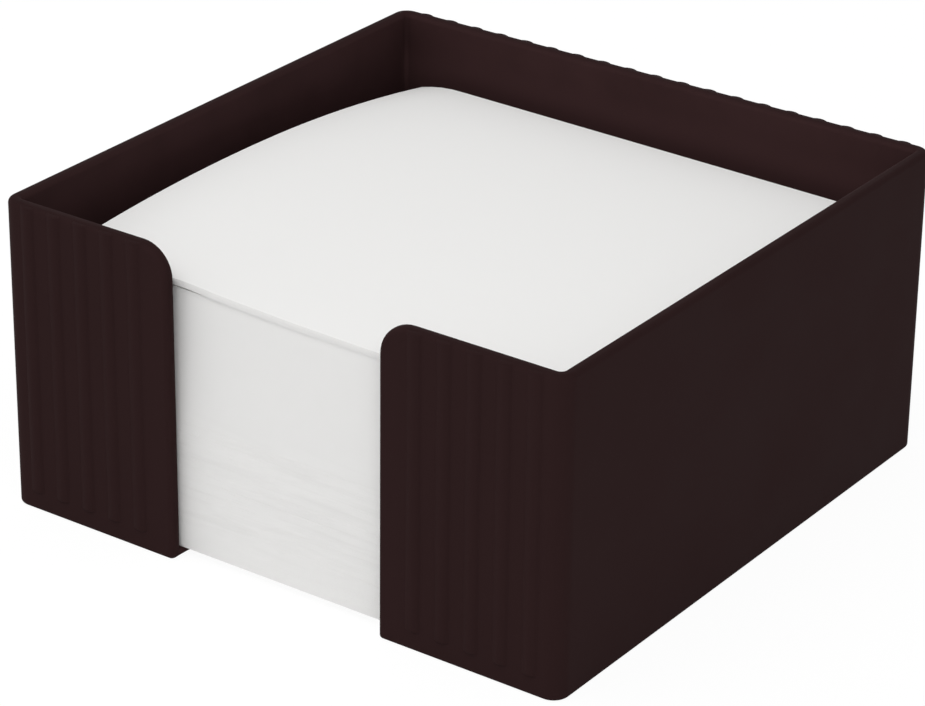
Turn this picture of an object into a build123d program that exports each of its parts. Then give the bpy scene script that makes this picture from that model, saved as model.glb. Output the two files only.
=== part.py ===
"""Memo cube holder: a moulded open box with a finger gap, filled with loose memo paper.

Millimetres, +Z up, +Y to the back. The origin is the middle of the underside.
"""
import os
from math import cos, floor, sin, tau

from build123d import *

os.makedirs("parts", exist_ok=True)

# Memo paper: square sheets, lying a little to the right and to the front of the holder.
sheet_side = 86.0
sheet_thickness = 0.1
left_clearance = 5.4
right_clearance = 0.6
front_clearance = 0.4
back_clearance = 4.8

# Holder: one moulding with a floor, four walls and a rounded rim.
holder_height = 48.2
wall_thickness = 2.0
floor_thickness = 1.2
corner_radius = 2.5
inside_corner_radius = 0.6
rim_radius = 0.8
base_radius = 0.5

# Upright ribs on the outside of the front and back walls, from a plain foot up to the rim.
rib_pitch = 4.8
rib_width = 2.4
rib_height = 0.4
rib_end_radius = 0.3
rib_foot = 3.0
rib_top_drop = 0.2

# Finger gap through the front wall, which runs on into the floor as a half-round thumb notch.
gap_width = 36.2
panel_corner_radius = 5.0

# Bundles of paper, fluffed up at the front by fingers and settled at the back.
bundle_count = 24
stack_front_height = 39.9
stack_middle_height = 40.1
stack_back_height = 37.4
bundle_gap = 0.05
bundle_stray = 0.1

# Loose sheets on top of the bundles.
loose_count = 6
loose_gap = 0.05
loose_stray = 0.1

# Each layer strays from the stack by this share of a turn after the layer under it.
stray_turn_share = 0.382

# How far a cut runs past the faces that it goes through.
overrun = 1.0

inside_width = left_clearance + sheet_side + right_clearance
inside_depth = front_clearance + sheet_side + back_clearance
body_width = inside_width + 2 * wall_thickness
body_depth = inside_depth + 2 * wall_thickness


def outside(vertex):
    """True for a corner on the outer side of a wall."""
    beyond_side = abs(vertex.X) - inside_width / 2
    beyond_front = abs(vertex.Y) - inside_depth / 2
    return max(beyond_side, beyond_front) > wall_thickness / 4


def outer_edge(edge):
    return all(outside(vertex) for vertex in edge.vertices())


def inner_edge(edge):
    return not any(outside(vertex) for vertex in edge.vertices())


# A rib is a slice of a round bar, set into the wall for half the wall's thickness.
rib_radius = (rib_width**2 / 4 + rib_height**2) / (2 * rib_height)
rib_length = holder_height - rib_top_drop - rib_foot
rib_cut = rib_radius - rib_height - wall_thickness / 2
with BuildPart() as rib:
    Cylinder(rib_radius, rib_length, align=(Align.CENTER, Align.CENTER, Align.MIN))
    fillet(rib.edges().filter_by(GeomType.CIRCLE), rib_end_radius)
    split(bisect_by=Plane.XZ.offset(rib_cut), keep=Keep.TOP)

rib_steps = floor((body_width / 2 - corner_radius - rib_width / 2) / rib_pitch)
back_ribs = [step * rib_pitch for step in range(-rib_steps, rib_steps + 1)]
front_ribs = [place for place in back_ribs if abs(place) > gap_width / 2 + panel_corner_radius]
rib_axis = body_depth / 2 + rib_height - rib_radius

with BuildPart() as holder:
    with BuildSketch():
        RectangleRounded(body_width, body_depth, corner_radius)
    extrude(amount=holder_height)
    with BuildSketch(Plane.XY.offset(floor_thickness)):
        RectangleRounded(inside_width, inside_depth, inside_corner_radius)
    extrude(amount=holder_height, mode=Mode.SUBTRACT)

    # The gap runs down the front wall, and the notch goes on from it into the floor.
    with BuildSketch():
        with Locations((0, -inside_depth / 2)):
            Rectangle(gap_width, wall_thickness + overrun, align=(Align.CENTER, Align.MAX))
            Circle(gap_width / 2)
    extrude(amount=holder_height, mode=Mode.SUBTRACT)

    # The panels beside the gap have rounded top corners, and every edge of the rim is rounded.
    across_wall = holder.edges().filter_by(Axis.Y).group_by(Axis.Z)[-1]
    fillet(across_wall.sort_by(lambda edge: abs(edge.center().X))[:2], panel_corner_radius)
    fillet(holder.edges().group_by(Axis.Z)[-1].filter_by(outer_edge), rim_radius)
    fillet(holder.edges().group_by(Axis.Z)[-1].filter_by(inner_edge), rim_radius)
    fillet(holder.edges().group_by(Axis.Z)[0].filter_by(outer_edge), base_radius)

    with Locations(*[(place, -rib_axis, rib_foot) for place in front_ribs]):
        add(rib.part)
    with Locations(*[(place, rib_axis, rib_foot) for place in back_ribs]):
        add(rib.part, rotation=(0, 0, 180))

holder.part.label = "holder_tray"
export_step(holder.part, "parts/holder_tray.step")

stack_left = -inside_width / 2 + left_clearance
stack_front = -inside_depth / 2 + front_clearance


def bend(level_share, lift, shift):
    """Front, steering and back point of a level's bend, under a sheet shifted along the stack."""
    front = floor_thickness + level_share * stack_front_height + lift
    middle = floor_thickness + level_share * stack_middle_height + lift
    back = floor_thickness + level_share * stack_back_height + lift
    steer = 2 * middle - (front + back) / 2

    def height(first_share, second_share):
        """Height of the bend where the shares are alike, and of its steering point between them."""
        at_front = front * (1 - first_share) * (1 - second_share)
        between = steer * (first_share * (1 - second_share) + second_share * (1 - first_share))
        return at_front + between + back * first_share * second_share

    start_share = shift / sheet_side
    end_share = 1 + start_share
    return [
        (0, height(start_share, start_share)),
        (sheet_side / 2, height(start_share, end_share)),
        (sheet_side, height(end_share, end_share)),
    ]


def lay_paper(name, layer, stray, low, high):
    """Write a sheet or a bundle of sheets between two levels, each a share of the stack and a lift."""
    turn = tau * stray_turn_share * layer
    shift = stray * sin(turn)
    corner = (stack_left + stray * cos(turn), stack_front + shift, 0)
    low_bend = bend(*low, shift)
    high_bend = bend(*high, shift)
    with BuildPart() as paper:
        with BuildSketch(Plane(origin=corner, x_dir=(0, 1, 0), z_dir=(1, 0, 0))):
            with BuildLine():
                Bezier(*low_bend)
                Line(low_bend[-1], high_bend[-1])
                Bezier(*high_bend)
                Line(high_bend[0], low_bend[0])
            make_face()
        extrude(amount=sheet_side)
    paper.part.label = name
    export_step(paper.part, f"parts/{name}.step")


for layer in range(bundle_count):
    low = (layer / bundle_count, 0)
    high = ((layer + 1) / bundle_count, -bundle_gap)
    lay_paper(f"paper_bundle_{layer + 1:02d}", layer, bundle_stray, low, high)

for layer in range(loose_count):
    lift = loose_gap + layer * (sheet_thickness + loose_gap)
    lay_paper(f"loose_sheet_{layer + 1}", layer, loose_stray, (1, lift), (1, lift + sheet_thickness))
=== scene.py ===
"""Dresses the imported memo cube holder: satin brown moulding, memo paper sheet by sheet, studio.

Metres, in the frame of the CAD model: +Z up, +Y to the back, the middle of the underside at zero.
"""
import math
import random

import bmesh
import bpy
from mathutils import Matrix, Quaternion, Vector


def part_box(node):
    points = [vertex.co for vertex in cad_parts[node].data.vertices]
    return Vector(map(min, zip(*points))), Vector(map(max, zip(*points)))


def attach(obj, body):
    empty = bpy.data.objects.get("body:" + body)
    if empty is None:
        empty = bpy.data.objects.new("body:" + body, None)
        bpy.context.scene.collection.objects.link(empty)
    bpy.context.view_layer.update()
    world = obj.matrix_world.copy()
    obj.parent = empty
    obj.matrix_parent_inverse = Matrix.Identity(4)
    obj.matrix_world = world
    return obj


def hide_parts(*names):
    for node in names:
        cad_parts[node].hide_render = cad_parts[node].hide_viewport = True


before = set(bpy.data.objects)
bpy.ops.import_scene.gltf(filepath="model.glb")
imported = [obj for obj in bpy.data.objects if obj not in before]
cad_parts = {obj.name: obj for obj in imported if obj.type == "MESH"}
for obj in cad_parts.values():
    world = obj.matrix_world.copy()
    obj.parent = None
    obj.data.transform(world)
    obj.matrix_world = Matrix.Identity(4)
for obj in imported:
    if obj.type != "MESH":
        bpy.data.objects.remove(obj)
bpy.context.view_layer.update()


# Holder: one injection moulding of dark brown plastic, satin from the tool's spark-eroded texture.
# Its rim is painted a shade darker, painted shade against the light that its upward face catches.
# The inside of its walls is painted lighter against the shade the walls cast on each other, less so
# in the
# # corners, and its back wall is painted lighter still in a band just above the stack, against the
# shade there.
plastic_brown = (0.0278, 0.0138, 0.0139, 1)
plastic_brown_deep = (0.0254, 0.0124, 0.0125, 1)
# Painted shade: the rim's colour is darkened to cancel the light its upward face catches.
plastic_brown_rim_painted_shade = (0.0185, 0.0092, 0.0093, 1)
# Painted light: the inside of the walls is lightened against the shade they cast on each other.
plastic_brown_inside_painted_light = (0.0510, 0.0248, 0.0254, 1)
# Painted light: low on the back wall's inside, just above the stack, against the shade there.
plastic_brown_low_painted_light = (0.0504, 0.0247, 0.0252, 1)
plastic_roughness = (0.46, 0.60)
plastic_specular = 0.008
flow_scale = 55.0
flow_range = (0.3, 0.7)
grain_scale = 3600.0
grain_height = 0.00004
grain_strength = 0.12
rim_shade_start = 0.0474
rim_shade_end = 0.0483
inside_reach = (0.0461, 0.0457)
wall_middle = (0.0470, 0.0466)
corner_start = 0.0012
corner_end = 0.0003
corner_share = 0.5
light_band_level = 0.0392
light_band_reach = 0.0052
light_band_back = (0.0440, 0.0450)


def feed(tree, socket, value):
    """Links an input to another node's output, or sets it to a plain value."""
    if isinstance(value, bpy.types.NodeSocket):
        tree.links.new(value, socket)
    else:
        socket.default_value = value


def add_node(tree, kind, settings=None, **inputs):
    """Adds a shader node and gives each named input its value or its link."""
    node = tree.nodes.new("ShaderNode" + kind)
    for name, value in (settings or {}).items():
        setattr(node, name, value)
    for name, value in inputs.items():
        feed(tree, node.inputs[name.replace("_", " ")], value)
    return node


def compute(tree, operation, *values):
    """Puts out what a Math node makes of the values or links."""
    node = add_node(tree, "Math", {"operation": operation})
    for socket, value in zip(node.inputs, values):
        feed(tree, socket, value)
    return node.outputs[0]


def fade(tree, value, start, end):
    """Puts out a smooth step from 0 at the start to 1 at the end, which may be below the start."""
    node = add_node(tree, "MapRange", {"interpolation_type": "SMOOTHSTEP"}, Value=value,
                    From_Min=min(start, end), From_Max=max(start, end),
                    To_Min=float(start > end), To_Max=float(start < end))
    return node.outputs["Result"]


def mix_colours(tree, factor, first, second):
    """Puts out a colour that goes from the first to the second with the factor."""
    node = add_node(tree, "Mix", {"data_type": "RGBA"}, Factor=factor)
    colour_sockets = [socket for socket in node.inputs if socket.type == "RGBA"]
    for socket, value in zip(colour_sockets, (first, second)):
        feed(tree, socket, value)
    return next(socket for socket in node.outputs if socket.type == "RGBA")


def start_material(name):
    """A new material with its tree and its Principled shader, ready for nodes."""
    material = bpy.data.materials.new(name)
    material.use_nodes = True
    return material, material.node_tree, material.node_tree.nodes["Principled BSDF"]


satin_plastic, tree, shader = start_material("brown_satin_plastic")
place = add_node(tree, "TexCoord").outputs["Object"]
axes = add_node(tree, "SeparateXYZ", Vector=place).outputs
flow = add_node(tree, "TexNoise", Vector=place, Scale=flow_scale, Detail=3.0,
                Roughness=0.55).outputs["Fac"]
grain = add_node(tree, "TexNoise", Vector=place, Scale=grain_scale, Detail=2.0,
                 Roughness=0.6).outputs["Fac"]
# Painted shade on the rim, which faces up and would otherwise read lighter than the walls.
rim_shade = compute(tree, "MULTIPLY", fade(tree, axes["Z"], rim_shade_start, rim_shade_end), flow)
inside = 1.0
in_corner = 1.0
for axis, reach, middle in zip("XY", inside_reach, wall_middle):
    outwards = compute(tree, "ABSOLUTE", axes[axis])
    inside = compute(tree, "MULTIPLY", inside, fade(tree, outwards, middle, reach))
    near_wall = fade(tree, outwards, reach - corner_start, reach - corner_end)
    in_corner = compute(tree, "MULTIPLY", in_corner, near_wall)
# Painted light on the inside of the walls, less in the corners, whose fillets already catch more
# light.
corner_cut = compute(tree, "MULTIPLY", in_corner, corner_share)
inside_painted_light = compute(tree, "MULTIPLY", inside, compute(tree, "SUBTRACT", 1.0, corner_cut))
inside_painted_light = compute(tree, "MULTIPLY", inside_painted_light, flow)
# Painted light in a band on the back wall's inside just above the stack, where the stack and the
# walls shade it.
from_light_band = compute(tree, "ABSOLUTE", compute(tree, "SUBTRACT", axes["Z"], light_band_level))
low_band_light = compute(tree, "MULTIPLY", inside, fade(tree, from_light_band, light_band_reach, 0.0))
low_band_light = compute(tree, "MULTIPLY", low_band_light, fade(tree, axes["Y"], *light_band_back))
colour = mix_colours(tree, flow, plastic_brown_deep, plastic_brown)
colour = mix_colours(tree, inside_painted_light, colour, plastic_brown_inside_painted_light)
colour = mix_colours(tree, low_band_light, colour, plastic_brown_low_painted_light)
feed(tree, shader.inputs["Base Color"], mix_colours(tree, rim_shade, colour, plastic_brown_rim_painted_shade))
gloss = add_node(tree, "MapRange", Value=flow, From_Min=flow_range[0], From_Max=flow_range[1],
                 To_Min=plastic_roughness[0], To_Max=plastic_roughness[1])
feed(tree, shader.inputs["Roughness"], gloss.outputs["Result"])
grain_bump = add_node(tree, "Bump", Strength=grain_strength, Distance=grain_height, Height=grain)
feed(tree, shader.inputs["Normal"], grain_bump.outputs["Normal"])
shader.inputs["Specular IOR Level"].default_value = plastic_specular

holder_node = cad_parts["holder_tray"]
holder_node.data.materials.clear()
holder_node.data.materials.append(satin_plastic)


# Paper block: 384 memo sheets of uncoated white paper, guillotined square and dropped in loose.
# They lie in bundles as they were filled, each knocked a little askew from the one under it, and
# the stack's upper part is turned a little by the fingers that take sheets from it.
sheet_side = 0.086
sheet_thickness = 0.000094
stack_left = -0.0406
stack_front = -0.0452
floor_top = 0.0012
stack_front_height = 0.0399
stack_middle_height = 0.0401
stack_back_height = 0.0374
bundle_count = 24
sheets_per_bundle = 16
sheet_segments = (8, 3)

# How the sheets lie askew, with bands given as shares of the stack's height.
bundle_turn = math.radians(0.08)
bundle_askew = 0.12
sheet_turn = math.radians(0.02)
sheet_stray = 0.000012
squared_band = (0.40, 0.60)
squared_share = 0.75
stack_twist = math.radians(-1.0)
twist_shift = (-0.00025, 0.00055)
twist_band = (0.30, 1.0)
groove_depth = 0.00003
groove_power = 6
grooved_boundaries = range(3, 13)
wave_height = 0.00006
wave_rise = 1.6
wave_cycles = (2.3, 4.1, 6.7)

# How the top of the stack sags and swells, with places and reaches as shares of a sheet's side.
left_droop_depth = 0.0016
left_droop_along = 0.65
left_droop_across = 0.30
right_droop_depth = 0.0009
right_droop_start = 0.28
back_droop_depth = 0.0012
back_droop_along = 0.40
back_droop_across = 0.087
back_left_rise = 0.00010
back_right_fall = 0.00061
left_swell_height = 0.0011
left_swell_across = 0.25
front_swell_height = 0.0003
front_swell_middle = 0.27
front_swell_across = 0.22
front_swell_along = 0.50

# The paper's finish: its shades, its cloudy formation, its fibres and the streaks of its cut edges.
paper_white = (0.868, 0.862, 0.852, 1)
paper_cloud = (0.845, 0.838, 0.828, 1)
paper_streak = (0.832, 0.825, 0.815, 1)
paper_roughness = (0.82, 0.95)
paper_specular = 0.25
cloud_scale = 130.0
cloud_range = (0.3, 0.7)
fibre_scale = 2600.0
fibre_height = 0.00002
fibre_strength = 0.25
streak_scale = (70.0, 70.0, 900.0)
streak_range = (0.47, 0.72)
streak_foot = (0.003, 0.007)
streak_head = (0.026, 0.016)

shuffle_seed = 11
shuffle = random.Random(shuffle_seed)
wave_phases = [[shuffle.random() for _ in wave_cycles] for _ in range(bundle_count + 1)]


def smooth(start, end, value):
    """Goes smoothly from 0 at the start to 1 at the end."""
    share = min(max((value - start) / (end - start), 0), 1)
    return share * share * (3 - 2 * share)


def paper_level(share, across, along):
    """Height of the stack at a share of it: across from left to right, along from front to back."""
    front = floor_top + share * stack_front_height
    middle = floor_top + share * stack_middle_height
    back = floor_top + share * stack_back_height
    steer = 2 * middle - (front + back) / 2
    level = front * (1 - along) ** 2 + 2 * steer * along * (1 - along) + back * along**2
    left_droop = (left_droop_depth * max(1 - along / left_droop_along, 0) ** 2
                  * max(1 - across / left_droop_across, 0) ** 2)
    right_droop = right_droop_depth * max(1 - along, 0) ** 2 * max(across - right_droop_start, 0)
    near_back_left = max(1 - (1 - along) / back_droop_along - across / back_droop_across, 0)
    back_droop = back_droop_depth * near_back_left**2
    back_tilt = along**2 * (back_left_rise - back_right_fall * across)
    left_swell = left_swell_height * along * (1 - along) * max(1 - across / left_swell_across, 0)
    front_swell = (front_swell_height
                   * max(1 - ((across - front_swell_middle) / front_swell_across) ** 2, 0)
                   * max(1 - (along / front_swell_along) ** 2, 0))
    swell = front_swell + left_swell + back_tilt
    return level + share**2 * (swell - left_droop - right_droop - back_droop)


def bundle_wave(boundary, across, along):
    """How far the boundary between two bundles swells up or down from its even height."""
    share = boundary / bundle_count
    size = wave_height * math.sin(math.pi * min(share * wave_rise, 1)) * (1 - along)
    waves = [math.sin(math.tau * (across * cycles + phase))
             for cycles, phase in zip(wave_cycles, wave_phases[boundary])]
    return size * (sum(waves) / len(waves)) if 0 < boundary < bundle_count else 0


def add_sheet(mesh, corner, turn, segments, level):
    """Adds one closed sheet to a mesh: a grid laid over the level, with its thickness added."""
    half = sheet_side / 2
    grid = bmesh.ops.create_grid(mesh, x_segments=segments[0], y_segments=segments[1], size=half)
    bmesh.ops.rotate(mesh, verts=grid["verts"], cent=(0, 0, 0),
                     matrix=Quaternion((0, 0, 1), turn).to_matrix())
    for vertex in grid["verts"]:
        vertex.co += Vector((corner[0] + half, corner[1] + half, 0))
        across = (vertex.co.x - stack_left) / sheet_side
        along = (vertex.co.y - stack_front) / sheet_side
        vertex.co.z = level(across, along)
    faces = list(dict.fromkeys(face for vertex in grid["verts"] for face in vertex.link_faces))
    shell = bmesh.ops.solidify(mesh, geom=faces, thickness=-sheet_thickness)
    return faces + [part for part in shell["geom"] if isinstance(part, bmesh.types.BMFace)]


def finish_piece(name, mesh, material):
    """Turns a finished mesh into a piece at the origin, with its faces pointing outwards."""
    bmesh.ops.recalc_face_normals(mesh, faces=mesh.faces)
    data = bpy.data.meshes.new(name)
    mesh.to_mesh(data)
    mesh.free()
    data.materials.append(material)
    piece = bpy.data.objects.new(name, data)
    bpy.context.scene.collection.objects.link(piece)
    return piece


formation = bpy.data.node_groups.new("paper_formation", "ShaderNodeTree")
for name, direction in (("Cloud Scale", "INPUT"), ("Fibre Scale", "INPUT"),
                        ("Cloud", "OUTPUT"), ("Fibre Height", "OUTPUT")):
    formation.interface.new_socket(name, in_out=direction, socket_type="NodeSocketFloat")
group_in = formation.nodes.new("NodeGroupInput")
group_out = formation.nodes.new("NodeGroupOutput")
place = add_node(formation, "TexCoord").outputs["Object"]
cloud = add_node(formation, "TexNoise", Vector=place, Scale=group_in.outputs["Cloud Scale"],
                 Detail=4.0, Roughness=0.6)
fibre = add_node(formation, "TexNoise", Vector=place, Scale=group_in.outputs["Fibre Scale"],
                 Detail=3.0, Roughness=0.65, Distortion=1.5)
clouding = add_node(formation, "MapRange", Value=cloud.outputs["Fac"], From_Min=cloud_range[0],
                    From_Max=cloud_range[1])
feed(formation, group_out.inputs["Cloud"], clouding.outputs["Result"])
feed(formation, group_out.inputs["Fibre Height"], fibre.outputs["Fac"])


def make_paper(name):
    """Uncoated white paper: cloudy formation, fibres, and each sheet a shade of its own.

    Returns the material with its tree, shader and colour, for marks that are added to it.
    """
    material, tree, shader = start_material(name)
    group = tree.nodes.new("ShaderNodeGroup")
    group.node_tree = formation
    group.inputs["Cloud Scale"].default_value = cloud_scale
    group.inputs["Fibre Scale"].default_value = fibre_scale
    tone = add_node(tree, "Attribute", {"attribute_name": "sheet_tone"}).outputs["Fac"]
    shade = compute(tree, "MULTIPLY", group.outputs["Cloud"], tone)
    colour = mix_colours(tree, shade, paper_white, paper_cloud)
    feed(tree, shader.inputs["Base Color"], colour)
    bump = add_node(tree, "Bump", Strength=fibre_strength, Distance=fibre_height,
                    Height=group.outputs["Fibre Height"])
    feed(tree, shader.inputs["Normal"], bump.outputs["Normal"])
    rough = add_node(tree, "MapRange", Value=group.outputs["Fibre Height"],
                     To_Min=paper_roughness[0], To_Max=paper_roughness[1])
    feed(tree, shader.inputs["Roughness"], rough.outputs["Result"])
    shader.inputs["Specular IOR Level"].default_value = paper_specular
    return material, tree, shader, colour


memo_paper, tree, shader, colour = make_paper("memo_paper")
place = add_node(tree, "TexCoord").outputs["Object"]
height = add_node(tree, "SeparateXYZ", Vector=place).outputs["Z"]
stretched = add_node(tree, "Mapping", Vector=place, Scale=streak_scale)
streak = add_node(tree, "TexNoise", Vector=stretched.outputs["Vector"], Scale=1.0, Detail=2.0,
                  Roughness=0.5, Distortion=0.35)
mark = add_node(tree, "MapRange", Value=streak.outputs["Fac"], From_Min=streak_range[0],
                From_Max=streak_range[1]).outputs["Result"]
for start, end in (streak_foot, streak_head):
    mark = compute(tree, "MULTIPLY", mark, fade(tree, height, start, end))
feed(tree, shader.inputs["Base Color"], mix_colours(tree, mark, colour, paper_streak))

for bundle in range(bundle_count):
    name = f"paper_bundle_{bundle + 1:02d}"
    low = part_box(name)[0]
    looseness = 1 - squared_share * smooth(*squared_band, bundle / bundle_count)
    left = stack_left + looseness * bundle_askew * (low.x - stack_left)
    front = stack_front + looseness * bundle_askew * (low.y - stack_front)
    turn = looseness * shuffle.uniform(-bundle_turn, bundle_turn)
    mesh = bmesh.new()
    tone = mesh.faces.layers.float.new("sheet_tone")
    for sheet in range(sheets_per_bundle):
        step = sheet / sheets_per_bundle
        share = (bundle + step) / bundle_count
        twist = smooth(*twist_band, share)
        from_middle = abs(2 * step - 1 + 1 / sheets_per_bundle)
        nearest_boundary = bundle + round(step)
        groove = groove_depth if nearest_boundary in grooved_boundaries else 0
        stray_x = looseness * shuffle.uniform(-sheet_stray, sheet_stray)
        stray_y = looseness * shuffle.uniform(-sheet_stray, sheet_stray)
        corner = (left + stray_x + twist * twist_shift[0],
                  front + stray_y + groove * from_middle**groove_power + twist * twist_shift[1])

        def sheet_level(across, along):
            """Height of this sheet, between the waves under and over its bundle."""
            below = bundle_wave(bundle, across, along)
            above = bundle_wave(bundle + 1, across, along)
            level = paper_level(share, across, along)
            return level + (1 - step) * below + step * above

        shade = looseness * shuffle.random()
        sheet_turned = (turn + twist * stack_twist
                        + looseness * shuffle.uniform(-sheet_turn, sheet_turn))
        for face in add_sheet(mesh, corner, sheet_turned, sheet_segments, sheet_level):
            face[tone] = shade
    piece = finish_piece(f"memo_sheets_{bundle + 1:02d}", mesh, memo_paper)
    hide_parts(name)
    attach(piece, "memo_block")


# Loose sheets: the six memo sheets on top, of the same white paper, which fingers reach first.
# They lie on the block, sag over its corners and part from it a little where they were thumbed.
loose_count = 6
loose_segments = (44, 26)
loose_clearance = 0.00003
loose_pitch = 0.00013
loose_turn = math.radians(-0.6)
loose_turn_stray = math.radians(0.02)
loose_setbacks = (0.00030, 0.00031, 0.00033, 0.00037, 0.00044, 0.00056)
loose_edge_angle = math.radians(40)
parting_height = 0.00040
parting_middle = 0.25
parting_across = 0.07
parting_along = 0.25
top_paper = make_paper("top_paper")[0]


def loose_lift(layer, across, along):
    """How far a loose sheet lies above the block, with the parting at the front."""
    lift = loose_clearance + layer * loose_pitch
    beside = math.exp(-((across - parting_middle) / parting_across) ** 2)
    return lift + parting_height * (1 - smooth(0.0, parting_along, along)) * beside


for layer in range(loose_count):
    name = f"loose_sheet_{layer + 1}"
    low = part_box(name)[0]
    mesh = bmesh.new()
    tone = mesh.faces.layers.float.new("sheet_tone")

    def sheet_level(across, along):
        """Height of this sheet over the top of the block."""
        return paper_level(1, across, along) + loose_lift(layer, across, along)

    shade = shuffle.random()
    corner = (stack_left + bundle_askew * (low.x - stack_left), stack_front + loose_setbacks[layer])
    turn = loose_turn + shuffle.uniform(-loose_turn_stray, loose_turn_stray)
    for face in add_sheet(mesh, corner, turn, loose_segments, sheet_level):
        face[tone] = shade
        face.smooth = True
    piece = finish_piece(f"top_memo_sheet_{layer + 1}", mesh, top_paper)
    piece.data.set_sharp_from_angle(angle=loose_edge_angle)
    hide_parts(name)
    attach(piece, f"top_sheet_{layer + 1}")


# Studio: a wide pale table under the holder, three soft lights and a white surround.
# The table keeps the soft shadow, and to the camera it is nearly plain white.
table_side = 6.0
table_drop = 0.00005
table_white = (0.95, 0.95, 0.95, 1)
table_roughness = 0.9
table_glow_share = 0.92
table_glow_level = 1.02
surround_white = (1, 1, 1, 1)
surround_level = 1.0
ambient_level = 0.478
softboxes = (
    {"name": "key_softbox", "spot": (-0.30, -0.30, 1.05), "width": 0.8, "power": 3.6},
    {"name": "fill_softbox", "spot": (0.40, -0.57, 0.80), "width": 0.6, "power": 3.0},
    {"name": "side_softbox", "spot": (-0.80, -0.25, 0.35), "width": 0.5, "power": 1.1},
)


def seen_directly(tree):
    """1 for what the camera sees, straight or by a reflection or through glass."""
    path = add_node(tree, "LightPath")
    seen = path.outputs["Is Camera Ray"]
    for ray in ("Is Glossy Ray", "Is Transmission Ray"):
        seen = compute(tree, "MAXIMUM", seen, path.outputs[ray])
    return seen


def blend_shaders(tree, factor, first, second, end):
    """Sends a mix of two shaders, from the first to the second, to an end node's surface."""
    blend = add_node(tree, "MixShader")
    for socket, value in zip(blend.inputs, (factor, first.outputs[0], second.outputs[0])):
        feed(tree, socket, value)
    feed(tree, tree.nodes[end].inputs["Surface"], blend.outputs[0])


mesh = bmesh.new()
bmesh.ops.create_grid(mesh, x_segments=1, y_segments=1, size=table_side / 2)
bmesh.ops.translate(mesh, verts=mesh.verts, vec=(0, 0, -table_drop))
table_paint, tree, shader = start_material("table_white")
shader.inputs["Base Color"].default_value = table_white
shader.inputs["Roughness"].default_value = table_roughness
shader.inputs["Specular IOR Level"].default_value = 0.0
glow = add_node(tree, "Emission", Strength=table_glow_level)
glow_seen = compute(tree, "MULTIPLY", seen_directly(tree), table_glow_share)
blend_shaders(tree, glow_seen, shader, glow, "Material Output")
table = finish_piece("studio_table", mesh, table_paint)

world = bpy.data.worlds.new("studio_surround")
bpy.context.scene.world = world
world.use_nodes = True
tree = world.node_tree
ambient = tree.nodes["Background"]
ambient.inputs["Color"].default_value = surround_white
ambient.inputs["Strength"].default_value = ambient_level
white = add_node(tree, "Background", Color=surround_white, Strength=surround_level)
blend_shaders(tree, seen_directly(tree), ambient, white, "World Output")

for softbox in softboxes:
    lamp = bpy.data.lights.new(softbox["name"], "AREA")
    lamp.shape = "SQUARE"
    lamp.size = softbox["width"]
    lamp.energy = softbox["power"]
    light = bpy.data.objects.new(softbox["name"], lamp)
    light.location = softbox["spot"]
    towards_holder = -Vector(softbox["spot"])
    light.rotation_euler = towards_holder.to_track_quat("-Z", "Y").to_euler()
    bpy.context.scene.collection.objects.link(light)


# Camera: a long lens, from the right of the front and well above it, as the photograph was taken.
# It has no lens shift, so the holder's upright edges draw together a little towards the table.
camera_spot = Vector((0.28501, -0.40471, 0.25972))
camera_aim = Vector((-0.000387, -0.002240, 0.020290))
camera_roll = math.radians(0.70)
camera_lens = 146.44
camera_sensor = 36.0
camera_data = bpy.data.cameras.new("photo_camera")
camera_data.sensor_width = camera_sensor
camera_data.lens = camera_lens
camera = bpy.data.objects.new("photo_camera", camera_data)
camera.location = camera_spot
camera.rotation_mode = "QUATERNION"
camera.rotation_quaternion = ((camera_aim - camera_spot).to_track_quat("-Z", "Y")
                              @ Quaternion((0, 0, 1), camera_roll))
bpy.context.scene.collection.objects.link(camera)
bpy.context.scene.camera = camera
bpy.context.scene.view_settings.view_transform = "Standard"
